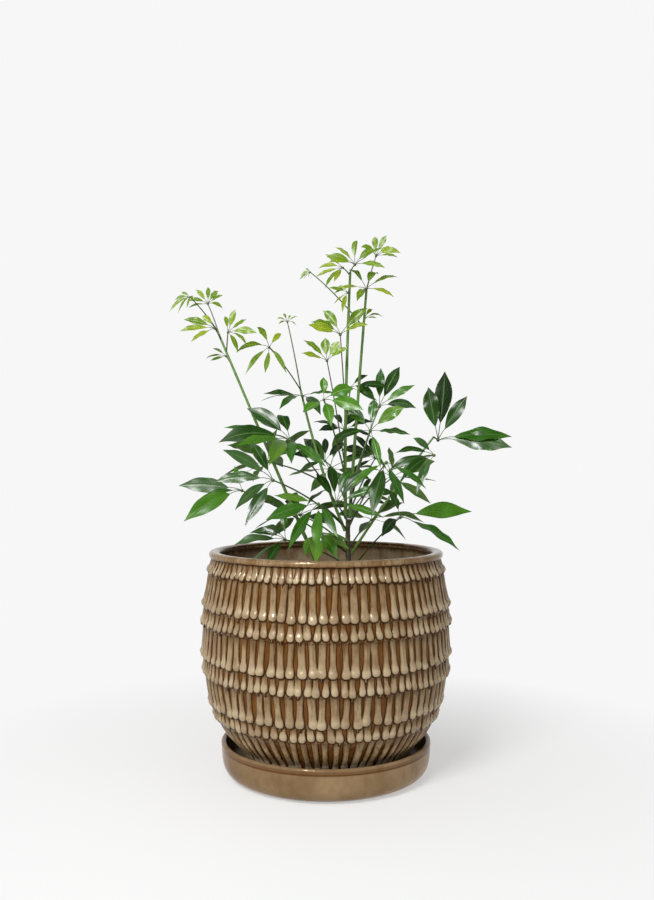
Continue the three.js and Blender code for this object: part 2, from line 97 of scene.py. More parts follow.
# Materials
class Nodes:
    """A node tree, with short ways to add nodes and link them."""

    def __init__(self, tree):
        self.tree = tree

    def add(self, kind, inputs=None, **settings):
        node = self.tree.nodes.new("ShaderNode" + kind)
        for key, value in settings.items():
            setattr(node, key, value)
        for key, value in (inputs or {}).items():
            self.put(node.inputs[key], value)
        return node

    def put(self, socket, value):
        if isinstance(value, bpy.types.NodeSocket):
            self.tree.links.new(value, socket)
        else:
            socket.default_value = value

    def place(self):
        return self.add("TexCoord").outputs["Object"]

    def attribute(self, name):
        return self.add("Attribute", attribute_name=name).outputs["Fac"]

    def noise(self, scale, detail=4, roughness=0.5, place=None):
        inputs = {"Vector": place or self.place(), "Scale": scale, "Detail": detail, "Roughness": roughness}
        return self.add("TexNoise", inputs).outputs["Fac"]

    def span(self, value, low, high, to_low=0, to_high=1, kind="LINEAR"):
        inputs = {"Value": value, "From Min": low, "From Max": high, "To Min": to_low, "To Max": to_high}
        return self.add("MapRange", inputs, interpolation_type=kind).outputs["Result"]

    def math(self, operation, first, second=0.0):
        return self.add("Math", {0: first, 1: second}, operation=operation).outputs[0]

    def mix(self, share, *colours):
        first, second = (linear(c) if isinstance(c, tuple) else c for c in colours)
        return self.add("Mix", {0: share, 6: first, 7: second}, data_type="RGBA").outputs[2]

    def bump(self, height, strength, distance, under=None):
        inputs = {"Height": height, "Strength": strength, "Distance": distance}
        if under:
            inputs["Normal"] = under
        return self.add("Bump", inputs).outputs["Normal"]


class Look(Nodes):
    """The nodes of a new material."""

    def __init__(self, name):
        self.material = bpy.data.materials.new(name)
        self.material.use_nodes = True
        super().__init__(self.material.node_tree)
        self.shader = self.tree.nodes["Principled BSDF"]

    def set(self, **inputs):
        for key, value in inputs.items():
            self.put(self.shader.inputs[key.replace("_", " ")], value)


# Glaze that runs thin and pale over what stands out and pools brown in what is cut in, darkened there
# partly by painted shade
GLAZE = {
    "line": (30, 15, 4),
    "groove": ((78, 47, 16), (110, 70, 29)),
    "flank": (100, 66, 34),
    "shaft": ((128, 104, 73), (153, 132, 100)),
    "bulb": ((147, 127, 98), (173, 155, 126)),
    "pooled_glaze_and_shade": (46, 26, 10),
    "fleck": (84, 56, 32),
}
SAUCER_GLAZE = {
    "body": ((112, 89, 60), (152, 127, 96)),
    "run": (102, 76, 46),
    "edge": (84, 46, 14),
    "fleck": (78, 54, 34),
}

# The warm tint of the glaze's gloss
GLAZE_SHEEN = (1, 0.82, 0.62, 1)

# The edge line is glaze pooled along the cut, partly painted shade
# The dark line along the strokes' edges, in mm: its middle and where it fades beside that, then how
# far the glaze strays
LINE_MIDDLE = 0.1
LINE_FADE = (0.1, 0.58)
WANDER = 0.28

# Where flecks are at their darkest, and how dark that is
FLECK_FULL = 0.74
FLECK_DARK = 0.3


def streaks_down(nodes, scale, stretch=0.12):
    """Noise that is drawn out down the side, as glaze runs."""
    drawn = nodes.add("VectorMath", {0: nodes.place(), 1: (1, 1, stretch)}, operation="MULTIPLY")
    return nodes.noise(scale, 4, 0.6, drawn.outputs["Vector"])


def flecked(nodes, colour, fleck, scale, least):
    """A colour with sparse dark flecks."""
    flecks = nodes.noise(scale, 2, 0.7)
    return nodes.mix(nodes.span(flecks, least, FLECK_FULL, 0, FLECK_DARK), colour, fleck)


def stroke_colour(nodes, pale, patches, streaks):
    """The tops of the strokes: pale ends, streaked shafts, and dark pooled glaze with painted shade under
    the ends above.
    """
    shaft = nodes.mix(nodes.span(patches, 0.38, 0.62), *GLAZE["shaft"])
    shaft = nodes.mix(nodes.span(streaks, 0.48, 0.64, 0, 0.75), shaft, GLAZE["flank"])
    bulb = nodes.mix(nodes.span(patches, 0.4, 0.6), *GLAZE["bulb"])
    top = nodes.mix(nodes.span(pale, 0.25, 0.9), shaft, bulb)
    # Painted shade with pooled glaze where the strokes come out from under the ends above
    return nodes.mix(nodes.span(pale, 0.0, 0.3, 0.5, 0), top, GLAZE["pooled_glaze_and_shade"])


def carved_colour(nodes, gap, pale, patches):
    """Tops, flanks, dark edge lines and grooves, by the gap to the nearest edge."""
    streaks = streaks_down(nodes, 420)
    top = stroke_colour(nodes, pale, patches, streaks)
    groove = nodes.mix(nodes.span(streaks, 0.35, 0.65), *GLAZE["groove"])
    # Darker down the rounded flanks: glaze colour and partly painted shade
    rounded = nodes.mix(nodes.span(gap, -1.1, -0.15), top, GLAZE["flank"])
    carved = nodes.mix(nodes.span(gap, -0.1, 0.25), rounded, groove)
    from_line = nodes.math("ABSOLUTE", nodes.math("SUBTRACT", gap, LINE_MIDDLE))
    line = nodes.span(from_line, *LINE_FADE, 1, 0)
    # The edge line is fuller round the ends: painted shade under them
    line = nodes.math("MULTIPLY", line, nodes.span(pale, 0.3, 0.85, 0.85, 1))
    return nodes.mix(line, carved, GLAZE["line"])


def glaze_material():
    nodes = Look("pot_glaze")
    wander = nodes.span(streaks_down(nodes, 260, 0.3), 0.3, 0.7, -WANDER, WANDER)
    gap = nodes.math("ADD", nodes.attribute("gap"), wander)
    patches = nodes.noise(55, 3)
    colour = carved_colour(nodes, gap, nodes.attribute("pale"), patches)
    pits = nodes.bump(nodes.noise(600, 3), 0.16, 0.0006)
    nodes.set(
        Base_Color=flecked(nodes, colour, GLAZE["fleck"], 900, 0.62),
        Roughness=nodes.span(patches, 0.3, 0.7, 0.07, 0.14),
        Normal=nodes.bump(nodes.noise(90, 3), 0.2, 0.003, pits),
        Specular_IOR_Level=0.14,
        Specular_Tint=GLAZE_SHEEN,
    )
    return nodes.material


def saucer_material():
    nodes = Look("saucer_glaze")
    clouds = nodes.noise(16, 5, 0.6)
    runs = streaks_down(nodes, 90, 0.5)
    body = nodes.mix(nodes.span(clouds, 0.3, 0.7), *SAUCER_GLAZE["body"])
    run = nodes.mix(nodes.span(runs, 0.5, 0.7, 0, 0.35), body, SAUCER_GLAZE["run"])
    edged = nodes.mix(nodes.attribute("edge"), run, SAUCER_GLAZE["edge"])
    nodes.set(
        Base_Color=flecked(nodes, edged, SAUCER_GLAZE["fleck"], 1000, 0.64),
        Roughness=nodes.span(clouds, 0.3, 0.7, 0.12, 0.2),
        Normal=nodes.bump(nodes.noise(45, 3), 0.14, 0.004),
        Specular_IOR_Level=0.1,
        Specular_Tint=GLAZE_SHEEN,
    )
    return nodes.material


def plain_material(name, colours, scale, roughness, relief, depth=0.0004):
    """Two close colours in patches, with a fine relief."""
    nodes = Look(name)
    patches = nodes.noise(scale, 4, 0.6)
    fine = nodes.noise(scale * 6, 4, 0.6)
    nodes.set(
        Base_Color=nodes.mix(nodes.span(patches, 0.3, 0.7), *colours),
        Roughness=nodes.span(fine, 0.3, 0.7, roughness - 0.06, roughness + 0.06),
        Normal=nodes.bump(fine, relief, depth),
        Specular_IOR_Level=0.2,
    )
    return nodes.material


# Colours of a leaf's veins and of its margin, and how much of them shows over its own green
VEIN = (150, 180, 90)
VEIN_SHOWS = 0.05
RIB_SHOWS = 0.1
MARGIN = (20, 44, 12)
MARGIN_SHOWS = 0.25

# Side veins, and how far they run on to the tip on their way out
SIDE_VEINS = 7
VEIN_SLANT = 2.6


def vein_lines(nodes, across):
    """1 on the side veins and 0 between them."""
    count = nodes.math("MULTIPLY", nodes.attribute("along"), SIDE_VEINS)
    slant = nodes.math("MULTIPLY", across, -VEIN_SLANT)
    wave = nodes.math("MULTIPLY", nodes.math("ADD", slant, count), TURN)
    return nodes.span(nodes.math("SINE", wave), 0.6, 1.0)


def leaf_material(name, colours, wax):
    """A waxy blade: two close greens, faint veins and a darker margin."""
    roughness, gloss, vein_relief = wax
    nodes = Look(name)
    across = nodes.attribute("across")
    patches = nodes.noise(50, 2)
    veins = vein_lines(nodes, across)
    green = nodes.mix(nodes.span(patches, 0.35, 0.65), *colours)
    veined = nodes.mix(nodes.math("MULTIPLY", veins, VEIN_SHOWS), green, VEIN)
    ribbed = nodes.mix(nodes.span(across, 0.02, 0.16, RIB_SHOWS, 0), veined, VEIN)
    nodes.set(
        Base_Color=nodes.mix(nodes.span(across, 0.8, 1.0, 0, MARGIN_SHOWS), ribbed, MARGIN),
        Roughness=nodes.span(patches, 0.3, 0.7, roughness - 0.05, roughness + 0.05),
        Normal=nodes.bump(veins, vein_relief, 0.0004),
        Specular_IOR_Level=gloss,
    )
    return nodes.material


# Meshes
class Parts:
    """Points, faces, materials and point values of one piece, gathered part by part."""

    def __init__(self):
        self.points = []
        self.faces = []
        self.tones = []
        self.values = {}

    def add(self, points, faces, tones=0, **values):
        start = len(self.points)
        self.points.extend(np.asarray(points, float).tolist())
        self.faces.extend([tuple(start + i for i in face) for face in faces])
        self.tones.extend(tones if isinstance(tones, list) else [tones] * len(faces))
        for key, numbers in values.items():
            self.values.setdefault(key, []).extend(np.asarray(numbers, float).tolist())

    def piece(self, name, slot, materials, nodes, sharp=None):
        mesh = bpy.data.meshes.new(name)
        mesh.from_pydata(self.points, [], self.faces)
        for material in materials:
            mesh.materials.append(material)
        mesh.polygons.foreach_set("material_index", self.tones)
        mesh.polygons.foreach_set("use_smooth", [True] * len(self.faces))
        for key, numbers in self.values.items():
            mesh.attributes.new(key, "FLOAT", "POINT").data.foreach_set("value", numbers)
        if sharp:
            mesh.set_sharp_from_angle(angle=math.radians(sharp))
        mesh.update()
        made = new_object(name, mesh)
        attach(made, "root")
        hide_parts(*nodes)


def band(rings, columns, joined=False):
    """Faces between rings, which go up outside. If joined, the last ring meets the first."""
    faces = []
    for ring in range(rings if joined else rings - 1):
        low = ring * columns
        high = (ring + 1) % rings * columns
        for i in range(columns):
            j = (i + 1) % columns
            faces.append((low + i, low + j, high + j, high + i))
    return faces


def capped_band(rings, columns):
    """The same with a flat face at either end."""
    last = (rings - 1) * columns
    ends = [tuple(range(columns - 1, -1, -1)), tuple(range(last, last + columns))]
    return band(rings, columns) + ends


def turned_points(profile, columns):
    """Points of a profile of [radius, z] turned about +Z. A radius may be a list, one a column."""
    turn = np.arange(columns) * TURN / columns
    rings = []
    for radius, z in profile:
        r = np.broadcast_to(radius, (columns,))
        rings.append(np.stack([r * np.cos(turn), r * np.sin(turn), np.full(columns, z)], 1))
    return np.concatenate(rings)


def tube(points, radii, sides):
    """A round closed tube that follows points, with a radius for each."""
    points = [Vector(p) for p in points]
    side = Vector((1, 0, 0))
    ring_points = []
    for i, point in enumerate(points):
        way = (points[min(i + 1, len(points) - 1)] - points[max(i - 1, 0)]).normalized()
        side = (side - way * side.dot(way)).normalized()
        across = way.cross(side)
        for k in range(sides):
            turn = TURN * k / sides
            ring_points.append(point + (side * math.cos(turn) + across * math.sin(turn)) * radii[i])
    return ring_points, capped_band(len(points), sides)


def bezier(start, middle, end, t):
    return start * (1 - t) ** 2 + middle * 2 * t * (1 - t) + end * t * t


# Pot
# Carved rows from the lip down, as in the solids: strokes round the pot, the row's top and
# bottom, the radius over the strokes at both ends and the depth of the grooves
CARVED_ROWS = [
    (105, 0.213, 0.2002, 0.1146, 0.1194, 0.0024),
    (81, 0.199, 0.1662, 0.1182, 0.1244, 0.0034),
    (96, 0.165, 0.1496, 0.1226, 0.1254, 0.0028),
    (81, 0.1484, 0.1188, 0.1232, 0.1252, 0.0034),
    (96, 0.1176, 0.1018, 0.1224, 0.1236, 0.0028),
    (73, 0.1006, 0.0728, 0.121, 0.117, 0.0034),
    (82, 0.0716, 0.0584, 0.1146, 0.1118, 0.0028),
    (66, 0.0572, 0.024, 0.1094, 0.085, 0.0032),
]
POT_COLUMNS = 1440

# How far a row's strokes run up under the ends above, where they start to sink, and to what share
# of their height
TUCK = 0.0056
TUCK_FROM = 0.004
TUCKED_HEIGHT = 0.3

# Half the breadth of a stroke's shaft and end as shares of its room, and how much broader the shaft
# begins, over which share of its length
SHAFT_HALF = 0.35
END_HALF = 0.47
TOP_FLARE = 0.06
FLARE_SHARE = 0.3

# How tall an end is below its widest place, at most and as a share of its row, and how square it is
# there: 2 is a circle
END_TALL = 0.0046
END_SHARE = 0.32
ROUND = 2.4

# How far above its widest place an end has narrowed to the shaft, in rows taller than LONG_ROW and
# in others, where it has sunk to the shaft's height, and the shaft's share of its own
NARROWS = (0.009, 0.0075)
LONG_ROW = 0.02
SHOULDER = 0.0031
SHAFT_HEIGHT = 0.62

# How far a drip runs below its stroke's end, and half its breadth
DRIP = 0.0026
DRIP_HALF = 0.0008

# The painted shadow line under the ends of the row above
LEDGE_SHADOW = 0.0006

# A gap wider than any in the carving, and the paleness between strokes
WIDE_GAP = 0.004
PLAIN_PALE = 0.3

# A hand's small differences: steps and most of a row's drift up and down, the share of strokes that
# drip, and the least and most of the others in the order they are drawn
DRIFT_STEP = 0.0003
DRIFT_MOST = 0.0009
DRIPPING = 0.16
UNEVEN = {
    "turn": (-0.11, 0.11),
    "wide": (0.82, 1.16),
    "knob": (0.94, 1.06),
    "low": (-0.0011, 0.0011),
    "lean": (-0.22, 0.22),
    "tall": (0.8, 1.0),
}
FIRST_ROW_SEED = 40


def floor_radius(z):
    """The bottom of the grooves at a height."""
    heights, radii = [], []
    for _, top, bottom, upper, lower, depth in reversed(CARVED_ROWS):
        heights += [bottom, top]
        radii += [lower - depth, upper - depth]
    return float(np.interp(z, heights, radii))


def row_strokes(index):
    """Where each stroke of a row runs, with a hand's small differences."""
    count = CARVED_ROWS[index][0]
    rng = np.random.default_rng(FIRST_ROW_SEED + index)
    drift = np.cumsum(rng.normal(0, DRIFT_STEP, count))
    drift -= np.linspace(0, drift[-1], count)
    strokes = {key: rng.uniform(least, most, count) for key, (least, most) in UNEVEN.items()}
    strokes["turn"] = (np.arange(count) + 0.5 * (index % 2) + strokes["turn"]) / count
    strokes["low"] += np.clip(drift, -DRIFT_MOST, DRIFT_MOST)
    strokes["drip"] = rng.uniform(0, 1, count) < DRIPPING
    return strokes


STROKES = [row_strokes(index) for index in range(len(CARVED_ROWS))]


class RowLevel:
    """One carved row at one height."""

    def __init__(self, index, z):
        self.count, self.top, self.bottom, upper, lower, _ = CARVED_ROWS[index]
        self.index, self.z = index, z
        self.tall = self.top - self.bottom
        self.down = float(np.clip((self.top - z) / self.tall, 0, 1))
        belly = 0.6 * self.down + 0.4 * smooth(0.3, 1, self.down)
        self.over = upper + (lower - upper) * belly

    def halves(self, drawn, swollen):
        """Half the breadth of strokes here, and of their ends."""
        pitch = TURN * self.over / self.count
        flare = 1 + TOP_FLARE * (1 - smooth(0, FLARE_SHARE, self.down))
        shaft = pitch * SHAFT_HALF * drawn["wide"] * flare
        end = pitch * END_HALF * drawn["knob"]
        return shaft + (end - shaft) * swollen, end

    def stroke(self, turn, offset):
        """Signed distance to the edge of the stroke there or next to it, its swell and its height."""
        number = (np.floor(turn * self.count).astype(int) + offset) % self.count
        drawn = {key: values[number] for key, values in STROKES[self.index].items()}
        low = self.bottom + drawn["low"]
        end_tall = min(END_TALL, END_SHARE * self.tall)
        narrows = NARROWS[0] if self.tall > LONG_ROW else NARROWS[1]
        middle = low + end_tall
        swollen = 1 - smooth(middle - 0.001, middle + narrows, self.z)
        half, end = self.halves(drawn, swollen)
        centre = drawn["turn"] + drawn["lean"] * (0.5 - self.down) / self.count
        across = np.abs((turn - centre + 0.5) % 1 - 0.5) * TURN * self.over
        below = np.maximum(middle - self.z, 0) * end / end_tall
        rounded_end = (across**ROUND + below**ROUND) ** (1 / ROUND) - end
        gap = np.where(self.z < middle, rounded_end, across - half)
        drip = np.maximum(across - DRIP_HALF, low - DRIP - self.z)
        gap = np.where(drawn["drip"], np.minimum(gap, drip), gap)
        inside = np.clip(-gap / half, 0, 1)
        lifted = 1 - smooth(middle, middle + SHOULDER, self.z)
        tall = (SHAFT_HEIGHT + (1 - SHAFT_HEIGHT) * lifted) * drawn["tall"]
        return gap, swollen, np.sqrt(1 - (1 - inside) ** 2) * tall

    def relief(self, turn):
        """Signed distance to the strokes' edges, their swell and their relief, for all columns."""
        edge = np.full(turn.shape, WIDE_GAP)
        swell = np.zeros(turn.shape)
        highest = np.zeros(turn.shape)
        for offset in (-1, 0, 1):
            gap, swollen, dome = self.stroke(turn, offset)
            swell = np.where(dome > highest, swollen, swell)
            highest = np.maximum(highest, dome)
            edge = np.minimum(edge, gap)
        tucked = smooth(self.top + TUCK, self.top - TUCK_FROM, self.z) if self.index else 1.0
        tall = max(self.over - floor_radius(self.z), 0) * (TUCKED_HEIGHT + (1 - TUCKED_HEIGHT) * tucked)
        return edge, swell, highest * tall


def carve(z, turn):
    """Radius, gap to the nearest edge in mm and paleness, for all columns at a height."""
    gap = np.full(turn.shape, WIDE_GAP)
    pale = np.full(turn.shape, PLAIN_PALE)
    relief = np.zeros(turn.shape)
    for index, row in enumerate(CARVED_ROWS):
        top, bottom = row[1:3]
        if not bottom - DRIP - 0.002 < z < top + TUCK:
            continue
        level = RowLevel(index, z)
        edge, swell, height = level.relief(turn)
        bare = gap > 0
        inside = edge < 0
        # Paler down each stroke to its end; the darker top, under the ends above, is partly painted shade
        stroke_pale = 0.4 * smooth(-0.15, 0.5, level.down) + 0.6 * swell
        pale = np.where(bare & inside, stroke_pale, pale)
        # Just beside an end above, a stroke counts as groove: a painted shadow line
        beside = np.where(inside, -np.minimum(-edge, gap - LEDGE_SHADOW), np.minimum(edge, gap))
        gap = np.where(bare, beside, gap)
        relief = np.maximum(relief, height)
    return floor_radius(z) + relief, gap / MM, pale


# Rings on the carving: close over a row's ends, from there up wide, and never closer than the least
CLOSE_FROM = -0.0022
CLOSE_TO = 0.0095
CLOSE_STEP = 0.0007
WIDE_STEP = 0.0028
LEAST_STEP = 0.0003


def carved_levels(low, high):
    """Heights of the rings on the outside."""
    levels = {low, high}
    for row in CARVED_ROWS:
        top, bottom = row[1:3]
        close = np.arange(bottom + CLOSE_FROM, min(bottom + CLOSE_TO, top - 0.001), CLOSE_STEP)
        rings = max(2, round((top - bottom - 0.012) / WIDE_STEP))
        wide = np.linspace(bottom + CLOSE_TO + CLOSE_STEP, top - 0.0024, rings)
        levels.update(round(float(z), 5) for z in [*close, *wide])
    kept = sorted(z for z in levels if low <= z <= high)
    return [z for i, z in enumerate(kept) if i == 0 or z == high or LEAST_STEP < z - kept[i - 1]]


# The lip's section and the inner wall: radius and height, for some also the gap and the paleness
# Painted shadow lines: the small gaps at the lip's foot and inside its edge draw dark lines there
LIP = [
    (0.1136, 0.2133, 0.2), (0.1149, 0.2137, 0.1), (0.1156, 0.2146, -0.4),
    (0.1158, 0.2158, -0.8, 0.27), (0.1158, 0.217, -0.9, 0.3), (0.1155, 0.2181, -0.9, 0.27),
    (0.1147, 0.219), (0.1133, 0.2196), (0.1112, 0.2197),
    (0.1085, 0.2195), (0.1064, 0.2189, -0.5), (0.1053, 0.2178, 0.1),
    (0.105, 0.2165, -0.5), (0.1052, 0.2153), (0.1059, 0.2143),
    (0.1075, 0.2135), (0.1086, 0.2126),
]
# The inner wall is paler than the glaze elsewhere: painted light in its shade
INNER_WALL = [
    (0.1092, 0.209, -0.9, 0.7), (0.1097, 0.2, -1.1, 0.8), (0.11, 0.188, -1, 0.7), (0.112, 0.18),
]
INNER_FOOT = [(0.098, 0.06), (0.076, 0.028), (0.068, 0.02), (0.03, 0.02)]
OUTER_FOOT = [(0.03, 0.0063), (0.078, 0.0063), (0.0815, 0.0066), (0.0826, 0.009), (0.0832, 0.018)]

# Gap and paleness where a profile point names none
PLAIN_GLAZE = (-0.9, 0.27)

# The pot is four pieces: the inner radius and the height of their seams, which lie in furrows between
# rows, and where the carving begins and ends
SEAMS = ((0.112, 0.1656), (0.112, 0.1182), (0.102, 0.0722))
CARVED_FROM = 0.026
CARVED_TO = 0.2129


def glazed(row):
    return (*row, *PLAIN_GLAZE[len(row) - 2 :])


def pot_piece(name, levels, before, after, material):
    """A piece of the pot: profile points before the carved levels, and after them."""
    turn = np.arange(POT_COLUMNS) / POT_COLUMNS
    profile = [glazed(row) for row in before]
    for z in levels:
        radius, gap, pale = carve(z, turn)
        profile.append((radius, z, gap, pale))
    profile += [glazed(row) for row in after]
    if before:
        faces = capped_band(len(profile), POT_COLUMNS)
    else:
        faces = band(len(profile), POT_COLUMNS, joined=True)
    points = turned_points([(row[0], row[1]) for row in profile], POT_COLUMNS)
    gap, pale = [np.concatenate([np.broadcast_to(row[k], turn.shape) for row in profile]) for k in (2, 3)]
    parts = Parts()
    parts.add(points, faces, gap=gap, pale=pale)
    parts.piece(name, "pot_glaze", [material], ["pot"], sharp=70)


def make_pot():
    material = glaze_material()
    high, middle, low = SEAMS
    pot_piece("pot_top", carved_levels(high[1], CARVED_TO), [], [*LIP, *INNER_WALL, high], material)
    pot_piece("pot_upper", carved_levels(middle[1], high[1]), [], [high, middle], material)
    pot_piece("pot_lower", carved_levels(low[1], middle[1]), [], [middle, low], material)
    pot_piece("pot_foot", carved_levels(CARVED_FROM, low[1]), OUTER_FOOT, [low, *INNER_FOOT], material)


# Saucer
SAUCER = [
    (0.03, 0.0), (0.083, 0.0), (0.0874, 0.0005), (0.0925, 0.0018),
    (0.0964, 0.0038), (0.0992, 0.0066), (0.1011, 0.01), (0.1022, 0.014),
    (0.1029, 0.0185), (0.1031, 0.0235), (0.1031, 0.0272), (0.1029, 0.0284),
    (0.1035, 0.0297), (0.1036, 0.0312), (0.1034, 0.0325), (0.1027, 0.0335),
    (0.1013, 0.034), (0.0998, 0.0336), (0.0988, 0.0325), (0.0984, 0.0305),
    (0.098, 0.0185), (0.0972, 0.0145), (0.0951, 0.011), (0.0918, 0.0083),
    (0.088, 0.0064), (0.084, 0.006), (0.03, 0.006),
]
SAUCER_COLUMNS = 256

# Brown lines round the saucer: height, breadth and strength. Those of the rim are on its outside only
FOOT_LINE = (0.0, 0.0012, 0.5)
RIM_LINES = [(0.0284, 0.0006, 1.0), (0.0305, 0.0015, 0.7)]
RIM_OUTSIDE = 0.1


def browned(radius, z):
    """How brown the saucer's glaze is at a point of its profile."""
    lines = [FOOT_LINE, *RIM_LINES] if radius > RIM_OUTSIDE else [FOOT_LINE]
    return max(strength * math.exp(-(((z - place) / breadth) ** 2)) for place, breadth, strength in lines)


def make_saucer():
    edge = np.repeat([browned(radius, z) for radius, z in SAUCER], SAUCER_COLUMNS)
    parts = Parts()
    parts.add(turned_points(SAUCER, SAUCER_COLUMNS), capped_band(len(SAUCER), SAUCER_COLUMNS), edge=edge)
    parts.piece("saucer_turned", "saucer_glaze", [saucer_material()], ["saucer"], sharp=70)


# Soil
SOIL_TOP = 0.188
SOIL_SEED = 7
SOIL_COLUMNS = 144
SOIL_RINGS = 40

# Profile below the top, and the top's reach from the wall to the middle
SOIL_SIDE = [
    (0.03, 0.0204), (0.067, 0.0204), (0.0755, 0.028),
    (0.0975, 0.06), (0.1115, 0.13), (0.1095, 0.184),
]
SOIL_REACH = (0.1094, 0.002)

# The top is a sum of waves: their number, the finest in radians a metre, how far they are sunk, the
# height of the longest, and the fineness that has half of it
WAVES = 60
FINEST = 260
SOIL_SUNK = 0.0016
WAVE_HEIGHT = 0.0011
HALF_AT = 90

# Chips that lie on it: their reach and sizes, and the share of each of the soil's four materials
CHIPS = 900
CHIP_REACH = 0.107
CHIP_SIZES = (0.0009, 0.0034)
CHIP_KINDS = (0.35, 0.45, 0.15, 0.05)


def lump(rng, size):
    """A small irregular lump with six corners."""
    corners = np.array([(1, 0, 0), (0, 1, 0), (-1, 0, 0), (0, -1, 0), (0, 0, 1), (0, 0, -1)], float)
    corners = corners * rng.uniform(0.6, 1.15, (6, 1)) + rng.uniform(-0.25, 0.25, (6, 3))
    corners = corners * size * rng.uniform(0.55, 1.2, 3)
    faces = [(0, 1, 4), (1, 2, 4), (2, 3, 4), (3, 0, 4), (1, 0, 5), (2, 1, 5), (3, 2, 5), (0, 3, 5)]
    return corners, faces


def soil_surface(rng):
    """A function for the height of the soil's top at a place."""
    waves = rng.uniform(-1, 1, (WAVES, 2)) * FINEST
    phases = rng.uniform(0, TURN, WAVES)
    heights = WAVE_HEIGHT / (1 + np.hypot(*waves.T) / HALF_AT)

    def height(x, y):
        return SOIL_TOP - SOIL_SUNK + float(np.sum(heights * np.sin(waves @ (x, y) + phases)))

    return height


def add_soil_body(parts, height):
    rings = [(radius, SOIL_TOP) for radius in np.linspace(*SOIL_REACH, SOIL_RINGS)]
    points = turned_points([*SOIL_SIDE, *rings], SOIL_COLUMNS)
    first = len(SOIL_SIDE) * SOIL_COLUMNS
    points[first:, 2] = [height(x, y) for x, y, _ in points[first:]]
    parts.add(points, capped_band(len(SOIL_SIDE) + SOIL_RINGS, SOIL_COLUMNS))


def add_chip(parts, height, rng):
    radius, turn = CHIP_REACH * math.sqrt(rng.uniform()), rng.uniform(0, TURN)
    x, y = radius * math.cos(turn), radius * math.sin(turn)
    size = rng.uniform(*CHIP_SIZES)
    corners, faces = lump(rng, size)
    corners += (x, y, height(x, y) + 0.1 * size)
    parts.add(corners, faces, int(rng.choice(len(CHIP_KINDS), p=CHIP_KINDS)))


def make_soil():
    rng = np.random.default_rng(SOIL_SEED)
    height = soil_surface(rng)
    parts = Parts()
    add_soil_body(parts, height)
    for _ in range(CHIPS):
        add_chip(parts, height, rng)
    materials = [
        plain_material("soil_dark", ((44, 33, 24), (64, 48, 35)), 400, 0.9, 0.6, 0.001),
        plain_material("soil_brown", ((70, 52, 37), (88, 66, 47)), 400, 0.9, 0.6, 0.001),
        plain_material("soil_bark", ((104, 76, 52), (126, 94, 66)), 300, 0.85, 0.6, 0.001),
        plain_material("soil_grit", ((168, 160, 146), (190, 184, 172)), 300, 0.8, 0.5, 0.001),
    ]
    parts.piece("soil_mix", "soil", materials, ["soil"], sharp=45)


# Plant
# Stems as in the solids, in millimetres: base, bend and tip, and the radii at both ends
STEMS = {
    "trunk": ((24, 0, 188.4), (21, 0, 224), (22, -1, 250), (2.7, 2.2)),
    "left": ((-1, -12, 188.4), (-40, -6, 277), (-110, 12, 440), (1.9, 1.1)),
    "middle": ((19.1, 2.7, 238), (-8, 14, 301), (-26, 26, 381), (1.6, 1.1)),
    "centre": ((19.8, -2.4, 250.7), (17, -6, 329), (24, -6, 495), (1.8, 1.2)),
    "right": ((23.6, 0.6, 250.7), (28, 12, 319), (41, 16, 481), (1.8, 1.2)),
    "far_right": ((25.3, -2.2, 216), (66, -12, 280), (108, 6, 332), (1.4, 1.0)),
}

# What the trunk's foot adds to its radius at the soil, and how soon that fades up the trunk
ROOT_FLARE = (0.0023, 0.006)

# Leaflets by age: how far they rise above the rosette's plane in degrees, the fall of the tip and
# half the breadth as shares of the length
AGES = {
    "old": (20, 0.3, 0.15),
    "grown": (18, 0.28, 0.15),
    "fresh": (22, 0.25, 0.18),
    "young": (26, 0.4, 0.14),
    "bud": (35, 0.6, 0.12),
}

